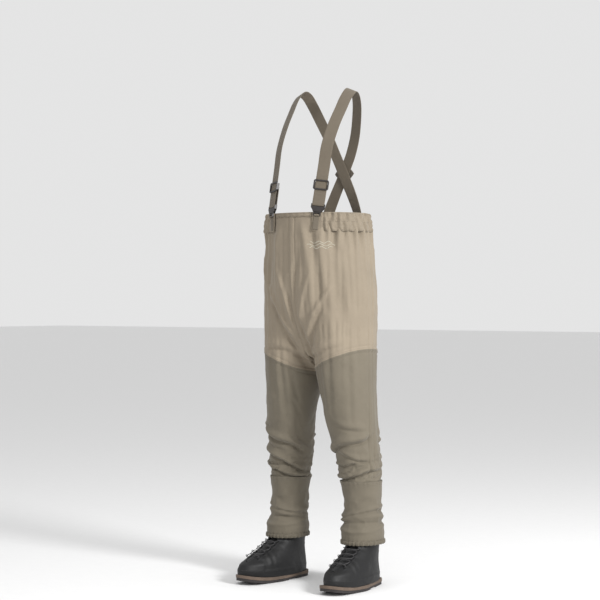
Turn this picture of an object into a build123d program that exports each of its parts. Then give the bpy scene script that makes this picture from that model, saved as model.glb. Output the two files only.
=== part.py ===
"""Chest waders with stocking feet and laced wading boots, standing as they are worn.

Millimetres. +Z is up, the wearer faces -Y and the wearer's left is +X. The origin is on the
floor, under the middle of the whole. Parts of the left side are drawn, and the right side's
are their mirror images.
"""

import os
from math import cos, radians, sin, sqrt

from build123d import *

os.makedirs("parts", exist_ok=True)

# ---------------------------------------------------------------- driving dimensions
AXIS_Y = 6.0  # the torso's axis lies this far behind the origin
TOP_Z = 1225.0  # upper edge of the bib
FABRIC = 3.0  # wall of the shell fabric, laminate and loft together
CLEAR = 0.4  # gap between layers of cloth
LAYER = 0.1  # gap between layers that are bonded

# Sections of the garment, as (z, x, y, half width, half depth), y from the torso's axis.
TORSO = [
    (1240, 0, 0, 173, 149),
    (1150, 0, 2, 186, 153),
    (1050, 0, 8, 201, 160),
    (950, 0, 16, 211, 168),
    (885, 0, 17, 201, 160),
    (835, 0, 15, 152, 122),
    (805, 0, 14, 72, 62),
]
LEG = [
    (925, 84, 14, 88, 116),
    (860, 97, 14, 104, 138),
    (800, 101, 12, 98, 124),
    (700, 103, 12, 95, 112),
    (600, 116, 17, 84, 97),
    (500, 128, 30, 76, 84),
    (440, 134, 38, 76, 80),
    (380, 140, 42, 76, 78),
    (320, 146, 45, 62, 68),
    (280, 148, 46, 56, 62),
    (225, 151, 44, 47, 61),
    (165, 154, 42, 34, 60),
]
GUARD = [
    (350, 143, 44, 74, 79),
    (320, 146, 45, 67, 73),
    (285, 148, 45, 62, 67),
    (245, 150, 44, 60, 66),
    (200, 152, 42, 62, 73),
    (160, 153, 40, 65, 80),
    (120, 154, 38, 65, 82),
]
LEG_END_Z = 168.3
GUARD_TOP_Z = 345.0
GUARD_END_Z = 153.0
GUARD_HEM_HEIGHT = 13.0
SIDE_SEAM_Y = 14.0
THIGH_SEAM_Z = 712.0  # the thigh seam's lowest point, at the inside of the leg
THIGH_SEAM_RISE = 21.0  # degrees that it climbs towards the outside

# The elastic round the sides of the bib
CASING_HEIGHT = 62.0
CASING_FROM, CASING_TO = 28.0, 138.0  # degrees round from the front
HEM_HEIGHT = 15.0
TAPE_WIDTH = 22.0

# Webbing and its hardware
STRAP_WIDTH = 40.0
WEB = 2.0
BAR_R = 2.6
LAYER_GAP = 8.1  # between the middles of the two layers of a strap that is doubled back
STRAP_YAW = radians(26)  # how far the strap's face turns outwards from the front
STRAP_FOOT = (93.0, -137.0, TOP_Z)  # where the strap's middle crosses the bib's edge
STRAP_CHEST = (97.0, -82.0, 1455.0)  # the end of the straight run over the chest
SLIDER_AT = 90.0  # height of the slider's middle bar along the strap
SOCKET_BAR_AT = 24.4
INSERT_BAR_AT = -10.3

# Boots, in a frame that stands under each ankle with the toes towards -y
ANKLE = (154.0, 40.0)
TOE_OUT = 6.0
OUTSOLE = 9.0
MIDSOLE = 10.0
ROCKER_FROM = -110.0
ROCKER_RADIUS = 585.0
BOOT_WALL = 5.0
SOLE_CIRCLES = [(0, 38, 43), (1, -88, 60), (-4, -190, 46)]
BOOT = [
    (12, 0, -77, 58, 156),
    (40, 0, -77, 60, 157),
    (62, -1, -74, 58, 150),
    (82, -1, -57, 55, 129),
    (105, 0, -30, 51, 99),
    (130, 0, -6, 49, 77),
    (170, 0, 2, 50, 66),
]
BOOT_TOP_Z = 165.0
SOCK_IN_BOOT = 9.4  # how far the stocking foot lies inside the boot's outer face
SOCK_WALL = 4.0
SOCK_TOP_Z = 168.0
THROAT_HALF = 20.0
LOOP_ROWS = [82, 94, 106, 118, 130]
LOOP_X = 24.0
LOOP_R, LOOP_HOLE_R = 4.8, 3.8
LACE_R = 1.3


# ---------------------------------------------------------------- helpers
def lofted(sections, inset=0.0, base=None):
    """A solid through ellipses, each taken in by inset. Without a base, y is from the torso's axis."""
    plane = base or Plane.XY.offset(0)
    shift = 0.0 if base else AXIS_Y
    with BuildPart() as solid:
        for z, x, y, half_width, half_depth in sections:
            with BuildSketch(plane.offset(z)):
                with Locations((x, y + shift)):
                    Ellipse(half_width - inset, half_depth - inset)
        loft()
    return solid.part


def shell(sections, gap, wall, low, high, base=None):
    """A tube of the given wall that stands gap outside the sections, from low to high."""
    floor = (base or Plane.XY).offset(low)
    roof = (base or Plane.XY).offset(high)
    with BuildPart() as tube:
        add(lofted(sections, -(gap + wall), base))
        add(lofted(sections, -gap, base), mode=Mode.SUBTRACT)
        split(bisect_by=floor, keep=Keep.TOP)
        split(bisect_by=roof, keep=Keep.BOTTOM)
    return tube.part


def sector(start, end, reach=400.0):
    """A tall wedge about the torso's axis, between two angles in degrees round from the front."""
    steps = 6
    turns = [radians(start + (end - start) * i / steps) for i in range(steps + 1)]
    rim = [(reach * sin(t), AXIS_Y - reach * cos(t)) for t in turns]
    with BuildPart() as wedge:
        with BuildSketch(Plane.XY.offset(800)):
            with BuildLine():
                Polyline((0, AXIS_Y), *rim, close=True)
            make_face()
        extrude(amount=600)
    return wedge.part


def save(part, label):
    part.label = label
    export_step(part, f"parts/{label}.step")


def save_pair(part, label):
    """Writes a left part and its mirror image."""
    save(part, label + "_left")
    with BuildPart() as other:
        add(mirror(part, about=Plane.YZ, mode=Mode.PRIVATE))
    save(other.part, label + "_right")


# ---------------------------------------------------------------- shell of the garment
with BuildPart() as left_half:
    add(lofted(TORSO))
    add(lofted(LEG))
    add(lofted(TORSO, FABRIC), mode=Mode.SUBTRACT)
    add(lofted(LEG, FABRIC), mode=Mode.SUBTRACT)
    split(bisect_by=Plane.YZ, keep=Keep.TOP)
    split(bisect_by=Plane.XY.offset(TOP_Z), keep=Keep.BOTTOM)
    split(bisect_by=Plane.XY.offset(LEG_END_Z), keep=Keep.TOP)

thigh_seam = Plane.XY.offset(THIGH_SEAM_Z).rotated((0, -THIGH_SEAM_RISE, 0))
side_seam = Plane(origin=(0, AXIS_Y + SIDE_SEAM_Y, 0), z_dir=(0, 1, 0))

with BuildPart() as lower_leg:
    add(left_half.part)
    split(bisect_by=thigh_seam, keep=Keep.BOTTOM)
save_pair(lower_leg.part, "lower_leg_panel")

with BuildPart() as front_panel:
    add(left_half.part)
    split(bisect_by=thigh_seam, keep=Keep.TOP)
    split(bisect_by=side_seam, keep=Keep.BOTTOM)
save_pair(front_panel.part, "front_panel")

with BuildPart() as back_panel:
    add(left_half.part)
    split(bisect_by=thigh_seam, keep=Keep.TOP)
    split(bisect_by=side_seam, keep=Keep.TOP)
save_pair(back_panel.part, "back_panel")

# ---------------------------------------------------------------- bands round the bib's edge
casing_ring = shell(TORSO, 2.4, 1.6, TOP_Z - CASING_HEIGHT, TOP_Z - 2.2)
with BuildPart() as casing:
    add(casing_ring)
    add(sector(CASING_FROM, CASING_TO), mode=Mode.INTERSECT)
save_pair(casing.part, "side_casing")

elastic_ring = shell(TORSO, CLEAR, 1.5, TOP_Z - CASING_HEIGHT + 8, TOP_Z - 8)
with BuildPart() as elastic:
    add(elastic_ring)
    add(sector(CASING_FROM + 2, CASING_TO - 2), mode=Mode.INTERSECT)
save_pair(elastic.part, "side_elastic")

hem_ring = shell(TORSO, CLEAR, 1.0, TOP_Z - HEM_HEIGHT, TOP_Z)
with BuildPart() as front_hem:
    add(hem_ring)
    add(sector(-CASING_FROM + 1, CASING_FROM - 1), mode=Mode.INTERSECT)
save(front_hem.part, "front_hem")

with BuildPart() as back_hem:
    add(hem_ring)
    add(sector(CASING_TO + 1, 359 - CASING_TO), mode=Mode.INTERSECT)
save(back_hem.part, "back_hem")

tape_ring = shell(TORSO, -(FABRIC + CLEAR + 0.8), 0.8, 900, TOP_Z - 4)
for name, side in (("front_seam_tape", -1), ("back_seam_tape", 1)):
    with BuildPart() as tape:
        add(tape_ring)
        with BuildSketch(Plane.XY.offset(880)):
            with Locations((0, AXIS_Y + side * 150)):
                Rectangle(TAPE_WIDTH, 200)
        extrude(amount=360, mode=Mode.INTERSECT)
    save(tape.part, name)

# ---------------------------------------------------------------- gravel guards
save_pair(shell(GUARD, 0, 2.0, GUARD_END_Z, GUARD_TOP_Z), "gravel_guard")
hem_top = GUARD_END_Z - 0.3
save_pair(shell(GUARD, -0.5, 3.4, hem_top - GUARD_HEM_HEIGHT, hem_top), "guard_hem")


# ---------------------------------------------------------------- shoulder straps
def unit(v):
    return Vector(*v).normalized()


STRAP_UP = (Vector(*STRAP_CHEST) - Vector(*STRAP_FOOT)).normalized()
FACE_OUT = Vector(sin(STRAP_YAW), -cos(STRAP_YAW), 0)
STRAP_FACE = (FACE_OUT - STRAP_UP * FACE_OUT.dot(STRAP_UP)).normalized()
# The front run's own frame: x across the strap, y up along it, z out from the chest.
front_run = Plane(
    origin=(STRAP_FOOT[0], STRAP_FOOT[1] + AXIS_Y, STRAP_FOOT[2]),
    x_dir=STRAP_UP.cross(STRAP_FACE),
    z_dir=STRAP_FACE,
)
outwards = Axis(front_run.origin, front_run.z_dir)
across_strap = Plane(front_run.origin, x_dir=front_run.y_dir, z_dir=front_run.x_dir)
# Over the shoulder and down the back: (middle of the strap, the way its face looks, how far
# it stands off where the two straps cross)
SHOULDER = [
    ((99, -50, 1514), (0.42, -0.80, 0.45), 0),
    ((101, -14, 1568), (0.40, -0.64, 0.66), 0),
    ((102, 15, 1609), (0.38, -0.38, 0.84), 0),
    ((102, 46, 1636), (0.36, 0.05, 0.93), 0),
    ((98, 74, 1630), (0.32, 0.55, 0.77), 0),
    ((90, 98, 1598), (0.26, 0.80, 0.54), 0),
    ((75, 119, 1550), (0.18, 0.92, 0.35), 0),
    ((54, 139, 1492), (0.10, 0.97, 0.20), 0.2),
    ((31, 148, 1436), (0.03, 0.99, 0.08), 0.9),
    ((10, 150, 1391), (0, 1, 0), 1.0),
    ((-10, 150, 1348), (0, 1, 0), 1.0),
    ((-36, 149, 1292), (-0.12, 0.98, 0), 0.3),
    ((-57, 146.5, 1240), (-0.26, 0.96, 0), 0),
    ((-66, 145, 1205), (-0.30, 0.95, 0.02), 0),
    ((-72, 145.6, 1168), (-0.30, 0.95, 0.03), 0),
]
CROSSING_GAP = 2.2  # half the distance between the two straps' middles at the crossing


def ribbon(stations, width, thickness):
    """A flat band through stations of (middle, facing), its section square to its own line."""
    middles = [Vector(*middle) for middle, _ in stations]
    with BuildPart() as band:
        for i, (_, facing) in enumerate(stations):
            ahead = middles[min(i + 1, len(middles) - 1)]
            behind = middles[max(i - 1, 0)]
            along = (ahead - behind).normalized()
            across = along.cross(unit(facing)).normalized()
            with BuildSketch(Plane(origin=middles[i], x_dir=across, z_dir=along)):
                Rectangle(width, thickness)
        loft()
    return band.part


def strap(stand_off):
    """One strap, from the socket's bar over the shoulder to the back. stand_off is its place
    at the crossing: 1 for the outer strap and -1 for the one under it."""
    stations = [(front_run.from_local_coords((0, s, 0)), STRAP_FACE) for s in (205, 215, 225)]
    for (x, y, z), facing, share in SHOULDER:
        lift = stand_off * share * CROSSING_GAP
        stations.append(((x, y + AXIS_Y + lift, z), facing))
    with BuildPart() as whole:
        add(ribbon([(tuple(m), f) for m, f in stations], STRAP_WIDTH, WEB))
        with BuildSketch(front_run):
            with Locations((0, (SOCKET_BAR_AT + 205) / 2)):
                Rectangle(STRAP_WIDTH, 205 - SOCKET_BAR_AT)
        extrude(amount=WEB / 2, both=True)
        with BuildSketch(across_strap):
            with Locations((SOCKET_BAR_AT, -LAYER_GAP / 2)):
                Circle(LAYER_GAP / 2 + WEB / 2)
                Circle(LAYER_GAP / 2 - WEB / 2, mode=Mode.SUBTRACT)
            with Locations((SOCKET_BAR_AT + LAYER_GAP, -LAYER_GAP / 2)):
                Rectangle(2 * LAYER_GAP, 3 * LAYER_GAP, mode=Mode.SUBTRACT)
        extrude(amount=STRAP_WIDTH / 2, both=True)
    return whole.part


save(strap(1), "shoulder_strap_left")
with BuildPart() as right_strap:
    add(mirror(strap(-1), about=Plane.YZ, mode=Mode.PRIVATE))
save(right_strap.part, "shoulder_strap_right")

# The patch that holds the straps together where they cross
patch_y = AXIS_Y + 150 + CROSSING_GAP + WEB / 2 + 2 * CLEAR
with BuildPart() as patch:
    with BuildSketch(Plane(origin=(0, patch_y, 1369), x_dir=(-1, 0, 0), z_dir=(0, 1, 0))):
        RectangleRounded(58, 58, 5, rotation=45)
    extrude(amount=2)
save(patch.part, "strap_patch")

# The doubled-back layer from the socket's bar up to the slider
TAIL_FROM = SOCKET_BAR_AT + 0.2
TAIL_TO = SLIDER_AT - 12
with BuildPart() as tail:
    with BuildSketch(front_run.offset(-LAYER_GAP)):
        with Locations((0, (TAIL_FROM + TAIL_TO) / 2)):
            Rectangle(STRAP_WIDTH, TAIL_TO - TAIL_FROM)
    extrude(amount=WEB / 2, both=True)
save_pair(tail.part, "strap_tail")

# ---------------------------------------------------------------- sliders
SLIDER_WIDTH, SLIDER_HEIGHT, SLIDER_BAR = 50.0, 34.0, 5.0
RAIL_INNER = STRAP_WIDTH / 2 + 0.8
CENTRE_BAR_Z = -5.2
with BuildPart() as slider:
    with BuildSketch(front_run.offset(WEB / 2 + 0.4)):
        with Locations((0, SLIDER_AT)):
            RectangleRounded(SLIDER_WIDTH, SLIDER_HEIGHT, 6)
            RectangleRounded(
                2 * RAIL_INNER, SLIDER_HEIGHT - 2 * SLIDER_BAR, 2.5, mode=Mode.SUBTRACT
            )
    extrude(amount=3.2)
    fillet(slider.faces().sort_by(outwards)[-1].edges(), 0.9)
    with BuildSketch(front_run.offset(WEB / 2 + 0.5)):
        for side in (-1, 1):
            rail = (SLIDER_WIDTH / 2 - RAIL_INNER) - 0.6
            with Locations((side * (RAIL_INNER + rail / 2), SLIDER_AT)):
                RectangleRounded(rail, SLIDER_HEIGHT - 12, 1)
    extrude(amount=CENTRE_BAR_Z - WEB)
    with BuildSketch(across_strap):
        with Locations((SLIDER_AT, CENTRE_BAR_Z)):
            SlotOverall(8, 3)
    extrude(amount=RAIL_INNER + 0.5, both=True)
save_pair(slider.part, "slider")

# The strap's end, sewn round the slider's middle bar
with BuildPart() as end_loop:
    with BuildSketch(across_strap):
        with Locations((SLIDER_AT, CENTRE_BAR_Z)):
            RectangleRounded(13.2, 7.2, 3.2)
            RectangleRounded(9.2, 3.6, 1.7, mode=Mode.SUBTRACT)
        with Locations((SLIDER_AT - 8.6, -LAYER_GAP - 0.2)):
            Rectangle(6.4, 1.6)
    extrude(amount=STRAP_WIDTH / 2 - 0.6, both=True)
save_pair(end_loop.part, "strap_end_loop")

# ---------------------------------------------------------------- side-release buckles
BUCKLE_Z = -LAYER_GAP / 2  # the middle of the buckle's thickness
SOCKET_TOP = 18.6
CAVITY_HALF, CAVITY_THICK = 11.8, 4.4
buckle_mid = front_run.offset(BUCKLE_Z)

with BuildPart() as socket:
    with BuildSketch(buckle_mid):
        with BuildLine():
            Polyline(
                (-14.5, 0.4), (-16, 5), (-22.5, 14), (-22.5, 27), (22.5, 27), (22.5, 14), (16, 5),
                (14.5, 0.4), close=True,
            )
        make_face()
        with Locations((0, SOCKET_TOP + 10)):
            Rectangle(2 * RAIL_INNER - 0.4, 20, mode=Mode.SUBTRACT)
    extrude(amount=4.4, both=True)
    with BuildSketch(buckle_mid):
        with Locations((0, 7)):
            Rectangle(2 * CAVITY_HALF, 17.2)
        with Locations((0, 5.4)):
            Rectangle(60, 13.5)
    extrude(amount=CAVITY_THICK / 2 + 0.2, both=True, mode=Mode.SUBTRACT)
    with BuildSketch(across_strap):
        with Locations((SOCKET_BAR_AT, BUCKLE_Z)):
            Circle(BAR_R)
    extrude(amount=22, both=True)
save_pair(socket.part, "buckle_socket")

PRONG_ROOT = (8.2, 0.8)
PRONG_R = 1.7
with BuildPart() as insert:
    with BuildSketch(buckle_mid):
        with Locations((0, -6.5)):
            RectangleRounded(24, 12, 2)
        with Locations((0, -10.3)):
            Rectangle(19.5, 12, mode=Mode.SUBTRACT)
    extrude(amount=3.2, both=True)
    with BuildSketch(across_strap):
        with Locations((INSERT_BAR_AT, BUCKLE_Z)):
            Circle(1.9)
    extrude(amount=11, both=True)
    with BuildSketch(buckle_mid):
        with Locations((0, 5.5)):
            RectangleRounded(9, 15, 2)
        with Locations((0, -0.6)):
            Rectangle(21, 1.6)
    extrude(amount=CAVITY_THICK / 2 - 0.3, both=True)
    with BuildSketch(buckle_mid):
        for side in (-1, 1):
            with Locations((side * PRONG_ROOT[0], PRONG_ROOT[1])):
                Circle(PRONG_R + 0.25)
    extrude(amount=6, both=True, mode=Mode.SUBTRACT)
save_pair(insert.part, "buckle_insert")

for name, side in (("inner", -1), ("outer", 1)):
    with BuildPart() as prong:
        with BuildSketch(buckle_mid):
            with BuildLine():
                Polyline(
                    (side * 6.9, 1.4), (side * 7.4, 11.5), (side * 9.6, 13.4),
                    (side * 13.6, 10.6), (side * 13.9, 7.4), (side * 10.6, 5.6),
                    (side * 9.6, 1.4), close=True,
                )
            make_face()
            with Locations((side * PRONG_ROOT[0], PRONG_ROOT[1])):
                Circle(PRONG_R)
        extrude(amount=CAVITY_THICK / 2 - 0.3, both=True)
    save_pair(prong.part, f"buckle_prong_{name}")

# The short webbing tab that ties the insert to the bib
with BuildPart() as tab:
    with BuildSketch(across_strap):
        with BuildLine():
            Polyline(
                (-58, -15.2), (-30, -10.6), (-20, -8.8), (-14.4, -7.6), (-10.3, -7.6),
                (-7.4, -6.2), (-6.7, -4.05), (-7.4, -1.9), (-10.3, -0.5), (-13.4, -1.2),
                (-20, -5.4), (-30, -7.8), (-58, -12.4), close=True,
            )
        make_face()
        with Locations((INSERT_BAR_AT, BUCKLE_Z)):
            Circle(2.3, mode=Mode.SUBTRACT)
    extrude(amount=9, both=True)
save_pair(tab.part, "anchor_tab")

# ---------------------------------------------------------------- boots and stocking feet
turn = radians(TOE_OUT)
foot = Plane(
    origin=(ANKLE[0], ANKLE[1] + AXIS_Y, 0), x_dir=(cos(turn), sin(turn), 0), z_dir=(0, 0, 1)
)
foot_side = Plane(origin=foot.origin, x_dir=foot.y_dir, z_dir=foot.x_dir)


def rocker(low, high):
    """The space between two heights over the sole's rocker, wider than a boot."""
    sweep = 15
    with BuildPart() as block:
        with BuildSketch(foot_side):
            with BuildLine():
                under = Line((120, low), (ROCKER_FROM, low))
                toe = JernArc(under @ 1, (-1, 0), ROCKER_RADIUS - low, -sweep)
                over = Line((120, high), (ROCKER_FROM, high))
                tip = JernArc(over @ 1, (-1, 0), ROCKER_RADIUS - high, -sweep)
                Line(toe @ 1, tip @ 1)
                Line(under @ 0, over @ 0)
            make_face()
        extrude(amount=90, both=True)
    return block.part


def sole_layer(low, high, margin):
    with BuildPart() as layer:
        with BuildSketch(foot):
            for x, y, radius in SOLE_CIRCLES:
                with Locations((x, y)):
                    Circle(radius + margin)
            make_hull()
        extrude(amount=80)
        add(rocker(low, high), mode=Mode.INTERSECT)
    return layer.part


with BuildPart() as outsole:
    add(sole_layer(0, OUTSOLE, 0))
    with BuildSketch(foot.offset(-1)):
        with Locations((0, -152)):
            with GridLocations(0, 13, 1, 9):
                Rectangle(140, 3)
            Rectangle(3, 120)
        with Locations((0, -32)):
            Rectangle(140, 46)
    extrude(amount=4.5, mode=Mode.SUBTRACT)
save_pair(outsole.part, "boot_outsole")

sole_top = OUTSOLE + MIDSOLE
save_pair(sole_layer(OUTSOLE + LAYER, sole_top - LAYER, 1.5), "boot_midsole")
save_pair(sole_layer(sole_top + LAYER, sole_top + 4, -18.5), "boot_insole")

with BuildPart() as upper:
    add(lofted(BOOT, 0, foot))
    add(lofted(BOOT, BOOT_WALL, foot), mode=Mode.SUBTRACT)
    add(rocker(-20, sole_top), mode=Mode.SUBTRACT)
    split(bisect_by=foot.offset(BOOT_TOP_Z), keep=Keep.BOTTOM)
    with BuildSketch(foot.offset(70)):
        with BuildLine():
            Polyline((-8, -190), (8, -190), (THROAT_HALF, -90), (THROAT_HALF, 0),
                     (-THROAT_HALF, 0), (-THROAT_HALF, -90), close=True)
        make_face()
    extrude(amount=120, mode=Mode.SUBTRACT)
save_pair(upper.part, "boot_upper")

with BuildPart() as tongue:
    add(lofted(BOOT, BOOT_WALL + CLEAR, foot))
    add(lofted(BOOT, BOOT_WALL + CLEAR + 2.6, foot), mode=Mode.SUBTRACT)
    with BuildSketch(foot.offset(64)):
        with Locations((0, -105)):
            Rectangle(2 * THROAT_HALF + 10, 190)
    extrude(amount=104, mode=Mode.INTERSECT)
save_pair(tongue.part, "boot_tongue")

with BuildPart() as hollow:
    add(lofted(BOOT, SOCK_IN_BOOT + SOCK_WALL, foot))
    add(rocker(-20, sole_top + 4 + LAYER + SOCK_WALL), mode=Mode.SUBTRACT)

with BuildPart() as sock:
    add(lofted(BOOT, SOCK_IN_BOOT, foot))
    add(hollow.part, mode=Mode.SUBTRACT)
    add(rocker(-20, sole_top + 4 + LAYER), mode=Mode.SUBTRACT)
    split(bisect_by=foot.offset(SOCK_TOP_Z), keep=Keep.BOTTOM)
save_pair(sock.part, "stocking_foot")


def boot_section(z):
    """The boot's ellipse at a height: x, y, half width and half length."""
    for low, high in zip(BOOT, BOOT[1:]):
        if low[0] <= z <= high[0]:
            share = (z - low[0]) / (high[0] - low[0])
            return [a + (b - a) * share for a, b in zip(low[1:], high[1:])]
    raise ValueError(f"no boot section at {z}")


def instep(x, z, lift):
    """A point that stands lift off the front of the boot."""
    cx, cy, half_width, half_length = boot_section(z)
    root = sqrt(1 - ((x - cx) / half_width) ** 2)
    _, above_y, _, above_length = boot_section(z + 4)
    slope = ((above_y - above_length * root) - (cy - half_length * root)) / 4
    out = Vector((x - cx) / half_width**2, -root / half_length, slope * root / half_length)
    return foot.from_local_coords(Vector(x, cy - half_length * root, z) + out.normalized() * lift)


# Metal loops for the lace, in a row down each side of the throat
with BuildPart() as loops:
    for z in LOOP_ROWS:
        for side in (-1, 1):
            centre = instep(side * LOOP_X, z, LOOP_R + 0.9)
            upwards = instep(side * LOOP_X, z + 3, LOOP_R + 0.9) - centre
            with BuildSketch(Plane(origin=centre, z_dir=upwards)):
                Circle(LOOP_R)
                Circle(LOOP_HOLE_R, mode=Mode.SUBTRACT)
            extrude(amount=0.8, both=True)
save_pair(loops.part, "lace_loops")

# The lace's two ends zigzag up through the loops and cross in the middle.
with BuildPart() as laces:
    for side, lift in ((-1, 4.0), (1, 9.5)):
        route = []
        for i, z in enumerate(LOOP_ROWS):
            here = side * (-1) ** i * LOOP_X
            if i:
                route.append(instep(0, (z + LOOP_ROWS[i - 1]) / 2, lift))
            route.append(instep(here, z - 1.5, LOOP_R + 0.9))
            route.append(instep(here, z + 1.5, LOOP_R + 0.9))
        with BuildLine():
            path = Spline(*route)
        with BuildSketch(Plane(origin=path @ 0, z_dir=path % 0)):
            Circle(LACE_R)
        sweep(path=path)
save_pair(laces.part, "boot_laces")
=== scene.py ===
"""Chest waders, standing as worn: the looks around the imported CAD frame. Metres, +Z up, front to -Y."""

import math

import bmesh
import bpy
import numpy as np
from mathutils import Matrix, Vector, kdtree, noise
from mathutils.bvhtree import BVHTree


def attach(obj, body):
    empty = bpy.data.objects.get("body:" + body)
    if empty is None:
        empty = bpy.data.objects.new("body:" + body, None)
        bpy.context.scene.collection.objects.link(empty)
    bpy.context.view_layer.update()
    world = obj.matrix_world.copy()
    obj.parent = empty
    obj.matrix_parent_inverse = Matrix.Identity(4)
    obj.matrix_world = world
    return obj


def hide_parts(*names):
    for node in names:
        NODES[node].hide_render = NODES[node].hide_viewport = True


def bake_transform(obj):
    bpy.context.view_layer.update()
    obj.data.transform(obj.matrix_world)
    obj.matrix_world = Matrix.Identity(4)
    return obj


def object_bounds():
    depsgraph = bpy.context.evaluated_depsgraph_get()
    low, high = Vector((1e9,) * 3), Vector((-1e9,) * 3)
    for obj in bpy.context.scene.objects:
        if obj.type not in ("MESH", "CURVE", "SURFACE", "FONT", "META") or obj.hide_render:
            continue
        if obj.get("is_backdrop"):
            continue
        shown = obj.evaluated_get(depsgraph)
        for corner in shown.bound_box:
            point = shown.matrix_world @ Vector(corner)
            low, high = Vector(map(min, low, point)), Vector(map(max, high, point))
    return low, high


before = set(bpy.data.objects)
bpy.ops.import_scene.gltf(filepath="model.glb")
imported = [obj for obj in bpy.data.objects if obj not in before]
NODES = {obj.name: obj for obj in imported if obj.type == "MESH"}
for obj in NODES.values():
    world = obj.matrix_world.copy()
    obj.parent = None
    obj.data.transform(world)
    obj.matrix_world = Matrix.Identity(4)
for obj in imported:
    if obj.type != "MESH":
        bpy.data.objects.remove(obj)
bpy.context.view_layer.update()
ROOT = "waders"
SIDES = (("left", 1.0), ("right", -1.0))

# ---- shape of the wearer's fit
AXIS_Y = 0.006
TOP_Z = 1.225
CASING_LOW = 1.163
CASING_FROM, CASING_TO = math.radians(28), math.radians(138)
SEAM_Y = AXIS_Y + 0.014
THIGH_SEAM_Z, THIGH_SEAM_RISE = 0.712, 0.384
SHELL_LOW, SHELL_THICK = 0.172, 0.0022
VOXEL = 0.0095
WEARER_INSET = 0.014
CLOTH_FRAMES, CLOTH_REACH = 45, 0.024
# (z, x, y, half width, half depth) in millimetres, y from the torso's axis
TORSO = [
    (1240, 0, 0, 173, 149), (1150, 0, 2, 186, 153), (1050, 0, 8, 201, 160),
    (950, 0, 16, 209, 166), (900, 0, 16, 202, 159), (860, 0, 15, 188, 146),
    (825, 0, 14, 160, 124), (795, 0, 13, 110, 86), (775, 0, 12, 60, 50),
]
LEG = [
    (925, 84, 14, 88, 116), (860, 97, 14, 104, 138), (800, 101, 12, 98, 124),
    (700, 103, 12, 95, 112), (600, 116, 17, 84, 97), (500, 128, 30, 76, 84),
    (440, 134, 38, 76, 80), (380, 140, 42, 74, 77), (320, 146, 45, 60, 66),
    (280, 148, 46, 55, 61), (225, 151, 44, 46, 60), (165, 154, 42, 34, 59),
]
GUARD = [
    (350, 143, 44, 70, 75), (320, 146, 45, 64, 70), (285, 148, 45, 60, 65),
    (245, 150, 44, 59, 64), (200, 152, 42, 62, 72), (160, 153, 40, 65, 79),
    (130, 154, 38, 66, 81),
]
BOOT = [
    (12, 0, -77, 58, 156), (40, 0, -77, 60, 157), (62, -1, -74, 58, 150),
    (82, -1, -57, 55, 129), (105, 0, -30, 51, 99), (130, 0, -6, 49, 77),
    (170, 0, 2, 50, 66),
]


def section(sections, z, smooth=0.0):
    """Centre x, y, half width and half depth at heights z (metres), softened over a distance."""
    table = np.array(sorted(sections), float) / 1000
    z = np.atleast_1d(np.asarray(z, float))
    steps = np.linspace(-1, 1, 9) * smooth if smooth else np.array([0.0])
    columns = [
        np.mean([np.interp(z + s, table[:, 0], table[:, i]) for s in steps], axis=0)
        for i in range(1, 5)
    ]
    return np.array(columns)


# ---- small mesh helpers
def new_object(name, data):
    obj = bpy.data.objects.new(name, data)
    bpy.context.scene.collection.objects.link(obj)
    return obj


def shade_smooth(mesh):
    mesh.polygons.foreach_set("use_smooth", [True] * len(mesh.polygons))


def add_object(name, verts, faces):
    mesh = bpy.data.meshes.new(name)
    mesh.from_pydata([tuple(v) for v in verts], [], faces)
    mesh.update()
    shade_smooth(mesh)
    return new_object(name, mesh)


def grid_faces(rows, cols, closed=False):
    faces = []
    for r in range(rows - 1):
        for c in range(cols if closed else cols - 1):
            d = (c + 1) % cols
            faces.append((r * cols + c, r * cols + d, (r + 1) * cols + d, (r + 1) * cols + c))
    return faces


def put_attribute(obj, name, values):
    """A place for each point, which the cloth's pattern follows."""
    layer = obj.data.attributes.new(name, "FLOAT_VECTOR", "POINT")
    layer.data.foreach_set("vector", np.asarray(values, np.float32).ravel())


def read(items, field):
    """A vector of each vertex, normal or attribute entry, as rows."""
    values = np.zeros(len(items) * 3, np.float32)
    items.foreach_get(field, values)
    return values.reshape(-1, 3).astype(float)


def coords(mesh):
    return read(mesh.vertices, "co")


def normals(mesh):
    return read(mesh.vertex_normals, "vector")


def set_coords(mesh, values):
    mesh.vertices.foreach_set("co", np.asarray(values, np.float32).ravel())
    mesh.update()


def apply_all(obj):
    """Turns the object's modifiers into its mesh."""
    bpy.context.view_layer.update()
    graph = bpy.context.evaluated_depsgraph_get()
    mesh = bpy.data.meshes.new_from_object(obj.evaluated_get(graph), depsgraph=graph)
    old = obj.data
    obj.modifiers.clear()
    obj.data = mesh
    mesh.name = old.name
    bpy.data.meshes.remove(old)
    shade_smooth(mesh)
    return obj


def thicken(obj, thickness):
    """Gives a surface its thickness, inwards."""
    mod = obj.modifiers.new("thick", "SOLIDIFY")
    mod.thickness = thickness
    mod.offset = -1.0
    return apply_all(obj)


def bevel(obj, width, segments):
    edge = obj.modifiers.new("edge", "BEVEL")
    edge.width, edge.segments = width, segments
    edge.limit_method, edge.angle_limit = "ANGLE", math.radians(40)


def fbm(points, scale, octaves=3, seed=0.0):
    """Fractal noise at each point, about -1 to 1."""
    shift = Vector((seed, seed * 1.7, seed * 0.3))
    return np.array([
        noise.fractal(Vector(p) * scale + shift, 0.9, 2.0, octaves, noise_basis="PERLIN_ORIGINAL")
        for p in points
    ])


def bump(value, centre, width):
    return np.exp(-(((value - centre) / width) ** 2))


def smoothstep(edge0, edge1, value):
    t = np.clip((value - edge0) / (edge1 - edge0), 0, 1)
    return t * t * (3 - 2 * t)


# ---- materials
def srgb(*values):
    return tuple(((v / 255 + 0.055) / 1.055) ** 2.4 if v > 10 else v / 255 / 12.92 for v in values)


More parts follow.
